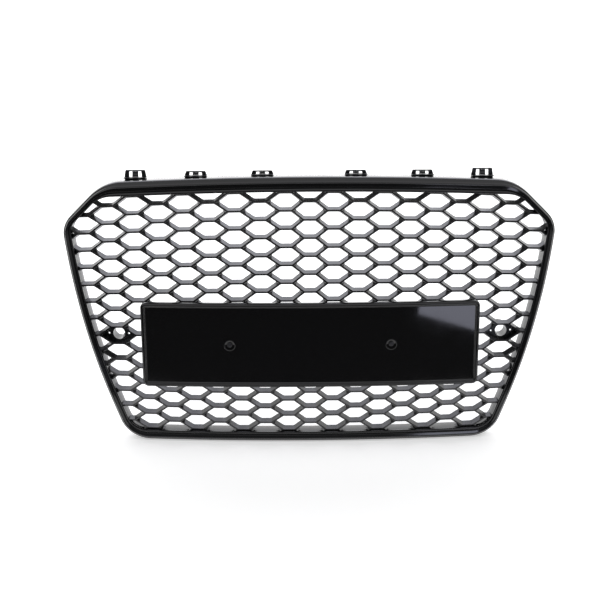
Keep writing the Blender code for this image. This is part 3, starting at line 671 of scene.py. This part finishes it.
def honeycomb():
    """Stacks the rings of all cells, joins them ring to ring, and merges neighbours."""
    rings, gone = [], np.ones(len(CELLS), bool)
    for inset, corner_cut, depth in RIB_SECTION:
        ring, outside = cell_ring(inset, corner_cut)
        gone &= outside
        rings.append(np.stack([ring[..., 0], np.full(ring.shape[:2], depth), ring[..., 1]], axis=-1))
    stack = np.stack(rings, axis=1)[~gone]
    cell_starts = np.arange(len(stack)) * len(rings) * RING_POINTS
    faces = grid_faces(len(rings), RING_POINTS)[None] + cell_starts[:, None, None]
    return merge_shell(bend(stack).reshape(-1, 3), faces.reshape(-1, 4))


honeycomb_shell = honeycomb()
print("points of the honeycomb:", len(honeycomb_shell[0]))

# %% [markdown]
# The rim is the wall that closes the mesh, and its flange carries a flat pad for each screw. Two
# bosses behind the panel take the screws of the number-plate carrier. They could be joined to the
# mesh with a Boolean, but plastic that is all one colour shows no seam where shells overlap. The
# ribs' flat walls meet at shallow angles, so this piece keeps edges from 18 degrees up sharp.

# %% Rim, pads and bosses
RIM_INSIDE, RIM_OUTSIDE, RIM_FRONT = 0.5, 3.0, -3.8
FLANGE_FRONT, FLANGE_BACK, FLANGE_GAP = 14.5, 17.0, 4.8
RIM_EDGE_RADIUS = 0.35
RIB_SHARP_ANGLE = 18.0
WELL_X, WELL_Z = 128.5, -44.0
PAD_BACK = 19.0
PAD = [(3.9, 12.8), (3.9, PAD_BACK), (1.8, PAD_BACK), (1.8, 12.8)]
CARRIER_BOSS = [(6.5, -4.7), (6.5, 13.0), (1.8, 13.0), (1.8, -4.7)]
rim_inner, rim_outer = INNER + INNER_NORMALS * RIM_INSIDE, INNER + INNER_NORMALS * RIM_OUTSIDE
flange_edge = SKIRT - outward(SKIRT) * FLANGE_GAP
rim_rings = [
    ring_of(rim_inner, RIM_FRONT),
    ring_of(rim_inner, FLANGE_BACK),
    ring_of(flange_edge, FLANGE_BACK),
    ring_of(flange_edge, FLANGE_FRONT),
    ring_of(rim_outer, FLANGE_FRONT),
    ring_of(rim_outer, RIM_FRONT),
]
insert_shells = [honeycomb_shell, sweep(bend(soften(np.stack(rim_rings), RIM_EDGE_RADIUS)))]
insert_shells += [turned(PAD, place, SMALL_SIDES) for place in SCREWS_AT]
insert_shells += [
    turned(CARRIER_BOSS, (side * WELL_X, nose(WELL_X, WELL_Z), WELL_Z)) for side in (1, -1)
]
make_piece(
    "honeycomb_mesh", insert_shells, mesh_finish, ["honeycomb_insert"], RIB_SHARP_ANGLE
)

# %% [markdown]
# ## Number-plate carrier
#
# The carrier is a bowed panel, straight from top to bottom, so a flat plate can rest on it. A
# double roll runs round its edge. A bevelled cube would give one even radius, so the edge is a
# section again: pairs of how far a ring has moved inward and how deep it lies behind the crest.
# The foot follows the mesh instead of the panel, half a millimetre in front of the ribs' noses.

# %% Edge of the carrier
HALF_WIDTH, TOP, BOTTOM = 270.0, 23.7, -113.0
CORNER_RADIUS, LEAST_RADIUS = 9.0, 1.5
CORNER_STEPS, SIDE_STEPS = [8] * 4, [72, 18, 72, 18]
CREST_FORWARD, PANEL_LEAN, PANEL_BOW = 12.8, 17.6, 12.8
FOOT_FORWARD = 4.5
CARRIER_WALL = 2.6
CARRIER_INSIDE = [(9.5, 7.5), (CARRIER_WALL, 6.2)]
CARRIER_SECTION = [
    (0.0, 4.6),
    (0.7, 2.2),
    (2.2, 0.5),
    (4.0, 0.0),
    (5.6, 0.8),
    (6.4, 2.2),
    (7.0, 2.2),
    (8.0, 3.7),
    (9.5, 5.2),
]
CARRIER_EDGE_RADIUS = 0.6


def panel(x, z):
    """Depth of the carrier's crest: a straight lean in z, and a square term in x."""
    return NOSE_DEPTH - CREST_FORWARD + PANEL_LEAN * z / HEIGHT_UNIT + PANEL_BOW * (x / WIDTH_UNIT) ** 2


def carrier_outline(inset):
    """The carrier's rounded rectangle, moved inward."""
    sides = [(-HALF_WIDTH, TOP), (HALF_WIDTH, TOP), (HALF_WIDTH, BOTTOM), (-HALF_WIDTH, BOTTOM)]
    radius = max(CORNER_RADIUS - inset, LEAST_RADIUS)
    return rounded_outline(moved_edges(np.array(sides), inset), [radius] * 4, CORNER_STEPS, SIDE_STEPS)


def carrier_ring(inset, depth):
    """A ring that follows the panel at a depth behind its crest."""
    outline = carrier_outline(inset)
    return ring_of(outline, panel(outline[:, 0], outline[:, 1]) + depth)


def foot_ring(inset):
    """A ring that follows the mesh, half a millimetre in front of it."""
    outline = carrier_outline(inset)
    return ring_of(outline, nose(outline[:, 0], outline[:, 1]) - FOOT_FORWARD)


carrier_rings = [carrier_ring(inset, depth) for inset, depth in CARRIER_INSIDE]
carrier_rings += [foot_ring(CARRIER_WALL), foot_ring(0.0)]
carrier_rings += [carrier_ring(inset, depth) for inset, depth in CARRIER_SECTION]
edge_shell = sweep(soften(np.stack(carrier_rings), CARRIER_EDGE_RADIUS))
print("points of the carrier's edge:", len(edge_shell[0]))

# %% [markdown]
# The carrier's face could be one plane with two holes cut into it, but then long thin faces would
# spoil its gloss. Here it's a sheet of 15 patches. Thirteen are plain grids, and two blend a square
# into a circle round a screw well. A front and a back sheet give the face its thickness, and the
# turned wells close it between them.

# %% Carrier face
FACE_X, FACE_BOTTOM, FACE_TOP = 262.6, -105.6, 16.3
SQUARE = 20.0
X_EDGES = [-FACE_X, -WELL_X - SQUARE, -WELL_X + SQUARE, WELL_X - SQUARE, WELL_X + SQUARE, FACE_X]
Z_EDGES = [FACE_BOTTOM, WELL_Z - SQUARE, WELL_Z + SQUARE, FACE_TOP]
X_STEPS, Z_STEPS = [24, 10, 48, 10, 24], [8, 10, 8]
WELL_COLUMNS, WELL_ROW = (1, 3), 1
WELL_RINGS, WELL_SPREAD = 7, 1.5


def patch(x0, x1, z0, z1, x_steps, z_steps, depth):
    """A rectangle of the face, as a grid that follows the panel."""
    z_line, x_line = np.linspace(z0, z1, z_steps + 1), np.linspace(x0, x1, x_steps + 1)
    z, x = np.meshgrid(z_line, x_line, indexing="ij")
    points = np.stack([x, panel(x, z) + depth, z], axis=-1)
    return points.reshape(-1, 3), grid_faces(z_steps + 1, x_steps + 1, wrap_columns=False)


def well_patch(centre, radius, steps, depth):
    """Blends the boundary of a square into a circle: point = (1 - t) * circle + t * square."""
    side = np.linspace(-SQUARE, SQUARE, steps, endpoint=False)
    full = np.full(steps, SQUARE)
    sides = ((side, -full), (full, side), (-side, full), (-full, -side))
    square = np.concatenate([np.stack(pair, axis=1) for pair in sides])
    t = np.linspace(0, 1, WELL_RINGS)[:, None, None] ** WELL_SPREAD
    plan = (1 - t) * unit(square) * radius + t * square + (centre, WELL_Z)
    points = np.stack([plan[..., 0], panel(plan[..., 0], plan[..., 1]) + depth, plan[..., 1]], axis=-1)
    return points.reshape(-1, 3), grid_faces(WELL_RINGS, len(square))


def face_sheet(depth, radius, front):
    """All patches of one side of the face, merged, with its faces turned to the front or the back."""
    parts = []
    for k, x_steps in enumerate(X_STEPS):
        for m, z_steps in enumerate(Z_STEPS):
            x_edges, z_edges = X_EDGES[k : k + 2], Z_EDGES[m : m + 2]
            if k in WELL_COLUMNS and m == WELL_ROW:
                parts.append(well_patch(sum(x_edges) / 2, radius, x_steps, depth))
            else:
                parts.append(patch(*x_edges, *z_edges, x_steps, z_steps, depth))
    points, triangles = merge_shell(*join_shells(parts))
    a, b, c = (points[triangles[:, k]] for k in range(3))
    towards_back = np.cross(b - a, c - a)[:, 1] > 0
    turn = towards_back == front
    triangles[turn] = triangles[turn][:, ::-1]
    return points, triangles


print("patches of the face:", len(X_STEPS) * len(Z_STEPS))

# %% Wells, and the whole carrier
FACE_FRONT, FACE_BACK = 3.6, 6.2
WELL_RADIUS, WELL_SIDES, WELL_EDGE_RADIUS = 9.0, 48, 0.35
SEAT = panel(WELL_X, WELL_Z) + FACE_FRONT
WELL_FLOOR = 2.2
WELL = [
    (9.2, 1.5),
    (9.2, -1.2),
    (7.6, -1.2),
    (7.6, WELL_FLOOR),
    (1.8, WELL_FLOOR),
    (1.8, 3.6),
    (9.2, 3.6),
]
carrier_shells = [edge_shell]
carrier_shells += [face_sheet(FACE_FRONT, WELL_RADIUS, True), face_sheet(FACE_BACK, WELL_RADIUS, False)]
carrier_shells += [
    turned(WELL, (side * WELL_X, SEAT, WELL_Z), WELL_SIDES, WELL_EDGE_RADIUS) for side in (1, -1)
]
make_piece("plate_carrier_panel", carrier_shells, panel_finish, ["plate_carrier"])

# %% [markdown]
# ## Screws
#
# A pan-head screw's top is a shallow dome, and a punch with four tapering arms cuts its cross
# recess. A Boolean could cut it too, but the dome is a surface already, so its depth just gains a
# smooth step wherever a point is nearer to an axis than half an arm's width. The shank is a plain
# turned shape that ends in a cone.

# %% Screw surface
SCREW_SIDES, DOME_RINGS = 48, 14
HEAD = 2.4
DOME_SHARE, DOME_DROP = 0.82, 0.55
ARM_FOOT, ARM_MOUTH = 0.4, 0.75
REACH_FOOT, REACH_MOUTH = 0.5, 0.62
RECESS_DEPTH = 1.3
HEAD_EDGE = [(0.93, 0.75), (1.0, 1.2), (1.0, HEAD)]
SHANK_RADIUS, TIP_RADIUS, TIP_LENGTH = 1.5, 0.02, 1.2


def smooth_step(value, low, high):
    """0 below low, 1 above high, and a smooth cubic between."""
    t = np.clip((value - low) / (high - low), 0, 1)
    return t * t * (3 - 2 * t)


def screw_shell(place, head_radius, length, direction):
    """Rings over the head, whose depth is a square term in the radius plus the recess, then the shank."""
    angle = np.linspace(0, math.tau, SCREW_SIDES, endpoint=False)
    radius = np.linspace(0, 1, DOME_RINGS)[:, None] * head_radius * DOME_SHARE
    x, z = radius * np.cos(angle), radius * np.sin(angle)
    arm = np.minimum(np.abs(x), np.abs(z))
    reach = np.maximum(np.abs(x), np.abs(z))
    cut = smooth_step(-arm, -ARM_MOUTH, -ARM_FOOT)
    cut = cut * smooth_step(-reach, -head_radius * REACH_MOUTH, -head_radius * REACH_FOOT)
    dome = DOME_DROP * (radius / head_radius) ** 2 + 0 * angle
    head = np.stack([x, dome + cut * RECESS_DEPTH, z], axis=-1)
    sides = [(share * head_radius, depth) for share, depth in HEAD_EDGE]
    sides += [(SHANK_RADIUS, HEAD), (SHANK_RADIUS, HEAD + length - TIP_LENGTH), (TIP_RADIUS, HEAD + length)]
    radii, depths = np.array(sides).T[:, :, None]
    shank = np.stack([radii * np.cos(angle), depths + 0 * angle, radii * np.sin(angle)], axis=-1)
    points = np.concatenate([head, shank])
    if direction < 0:
        points = points * [-1, -1, 1]
    return sweep(points + np.array(place), closed=False)


print("rings of a screw's head:", DOME_RINGS + len(HEAD_EDGE))

# %% Place the screws
HEAD_GAP = 0.3
FLANGE_SCREW, CARRIER_SCREW = (3.5, 14.0), (4.0, 11.0)
for number, (x, y, z) in enumerate(SCREWS_AT, start=1):
    name = f"insert_screw_{number:02d}"
    shell = screw_shell((x, y + PAD_BACK + HEAD_GAP + HEAD, z), *FLANGE_SCREW, -1)
    make_piece(name + "_cross", [shell], screw_finish, [name])
for side, word in ((-1, "left"), (1, "right")):
    name = f"carrier_screw_{word}"
    shell = screw_shell((side * WELL_X, SEAT + WELL_FLOOR - HEAD_GAP - HEAD, WELL_Z), *CARRIER_SCREW, 1)
    make_piece(name + "_cross", [shell], screw_finish, [name])

# %% [markdown]
# ## Nodes that keep their own shape
#
# The sensor holders, latches, clips and tongues could be rebuilt too, but their solids already have
# the true shape and small radii, so they only need their finish.

# %% Finish the remaining nodes
KEPT_NODES = ("sensor_holder", "sensor_latch", "top_clip", "clip_tongue")
for name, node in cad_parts.items():
    if name.startswith(KEPT_NODES):
        node.data.materials.clear()
        node.data.materials.append(mesh_finish if "holder" in name else clip_finish)
print("nodes with a new finish:", sum(name.startswith(KEPT_NODES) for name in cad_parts))

# %% [markdown]
# ## Studio
#
# Black gloss shows whatever stands round it, so the studio is what gives it its light edges. A pale
# floor and a bright backdrop stand round the grille. They could be lit by strong lamps, but a plane
# that glows a little stays even and has no hot spot.

# %% Stage
FLOOR_HALF_WIDTH, FLOOR_FRONT, WALL_Y = 4.0, -0.5, 3.2
WALL_HALF_WIDTH, WALL_BOTTOM, WALL_TOP = 6.0, -0.6, 5.0


def stage_plane(name, corners, colour, roughness, glow):
    """A four-cornered plane that isn't part of the object."""
    mesh = bpy.data.meshes.new(name)
    mesh.from_pydata(corners, [], [(0, 1, 2, 3)])
    settings = {"Base Color": linear(colour), "Roughness": roughness}
    settings["Emission Color"] = linear("#ffffff")
    settings["Emission Strength"] = glow
    mesh.materials.append(new_material(name, settings)[0])
    plane = bpy.data.objects.new(name, mesh)
    bpy.context.scene.collection.objects.link(plane)
    print("stage:", name)


floor_corners = [
    (-FLOOR_HALF_WIDTH, FLOOR_FRONT, 0.0),
    (FLOOR_HALF_WIDTH, FLOOR_FRONT, 0.0),
    (FLOOR_HALF_WIDTH, WALL_Y, 0.0),
    (-FLOOR_HALF_WIDTH, WALL_Y, 0.0),
]
wall_corners = [
    (-WALL_HALF_WIDTH, WALL_Y, WALL_BOTTOM),
    (WALL_HALF_WIDTH, WALL_Y, WALL_BOTTOM),
    (WALL_HALF_WIDTH, WALL_Y, WALL_TOP),
    (-WALL_HALF_WIDTH, WALL_Y, WALL_TOP),
]
stage_plane("floor", floor_corners, "#f6f6f4", roughness=0.75, glow=0.42)
stage_plane("backdrop", wall_corners, "#f2f2f2", roughness=0.9, glow=1.15)

# %% [markdown]
# ## Lights
#
# A wide soft light hangs above and behind the grille, so the slopes of its ribs turn grey while
# their fronts stay black. The panel's face reflects a small dim card in front as a grey patch. A
# spot light would give a hard round patch, so both are area lights.

# %% Two soft lights
LIGHT_COLOUR = "#e9ebff"
CARD_TURN = -12.0


def soft_light(name, place, target, width, height, watts):
    """A rectangular area light that faces its target."""
    data = bpy.data.lights.new(name, "AREA")
    data.shape, data.size, data.size_y, data.energy = "RECTANGLE", width, height, watts
    data.color = linear(LIGHT_COLOUR)[:3]
    light = bpy.data.objects.new(name, data)
    light.location = place
    light.rotation_euler = (Vector(target) - Vector(place)).to_track_quat("-Z", "Y").to_euler()
    bpy.context.scene.collection.objects.link(light)
    print("light:", name, watts, "W")
    return light


soft_light("overhead", place=(0.0, 1.75, 2.05), target=(0.0, 0.0, 0.2), width=3.2, height=1.1, watts=13.0)
card = soft_light(
    "card", place=(0.58, -1.08, 0.145), target=(0.24, -0.045, 0.222), width=0.26, height=0.22, watts=0.6
)
card.rotation_euler.rotate_axis("Z", math.radians(CARD_TURN))
card.visible_camera = False

# %% [markdown]
# ## World
#
# The rest of the room is a plain sky that is dim near the floor and brightens with height. One even
# grey would be simpler, but it would wash out the fronts of the black mouldings.

# %% World
HEIGHT_LIMITS = {"From Min": 0.1, "From Max": 0.75}
STRENGTH_LIMITS = {"To Min": 0.07, "To Max": 0.85}
world = bpy.data.worlds.new("studio")
world.use_nodes = True
bpy.context.scene.world = world
tree = world.node_tree
direction = add(tree, "ShaderNodeTexCoord").outputs["Generated"]
height = add(tree, "ShaderNodeSeparateXYZ", None, {"Vector": direction}).outputs["Z"]
ramp = add(tree, "ShaderNodeMapRange", HEIGHT_LIMITS | STRENGTH_LIMITS, {"Value": height})
tree.links.new(ramp.outputs["Result"], tree.nodes["Background"].inputs["Strength"])
tree.nodes["Background"].inputs["Color"].default_value = linear("#fcfcff")
print("world:", world.name)

# %% [markdown]
# ## Camera
#
# The camera stands in front and a little above, as a person would who looks down at a parked car.
# A Track To constraint could aim it, but three angles and a place say exactly how it is held, and a
# matrix made from its right, up and forward directions leaves nothing to solve.

# %% Camera
PITCH, YAW, ROLL = (math.radians(angle) for angle in (16.891, 0.386, -0.3135))
LENS, SENSOR_WIDTH = 51.0, 36.0
CAMERA_PLACE = (-24.95, -1283.9 + NOSE_DEPTH, 630.7)
forward = np.array([math.sin(YAW) * math.cos(PITCH), math.cos(YAW) * math.cos(PITCH), -math.sin(PITCH)])
level = np.array([math.cos(YAW), -math.sin(YAW), 0.0])
upright = np.cross(level, forward)
right = math.cos(ROLL) * level + math.sin(ROLL) * upright
up = math.cos(ROLL) * upright - math.sin(ROLL) * level
camera_data = bpy.data.cameras.new("camera")
camera_data.sensor_width, camera_data.lens = SENSOR_WIDTH, LENS
camera = bpy.data.objects.new("camera", camera_data)
bpy.context.scene.collection.objects.link(camera)
turn = np.eye(4)
turn[:3, 0], turn[:3, 1], turn[:3, 2] = right, up, -forward
turn[:3, 3] = np.array(CAMERA_PLACE) * MM
camera.matrix_world = Matrix(turn.tolist())
bpy.context.scene.camera = camera
bpy.context.scene.view_settings.view_transform = "Standard"
print("camera at:", [round(value, 3) for value in camera.matrix_world.translation])
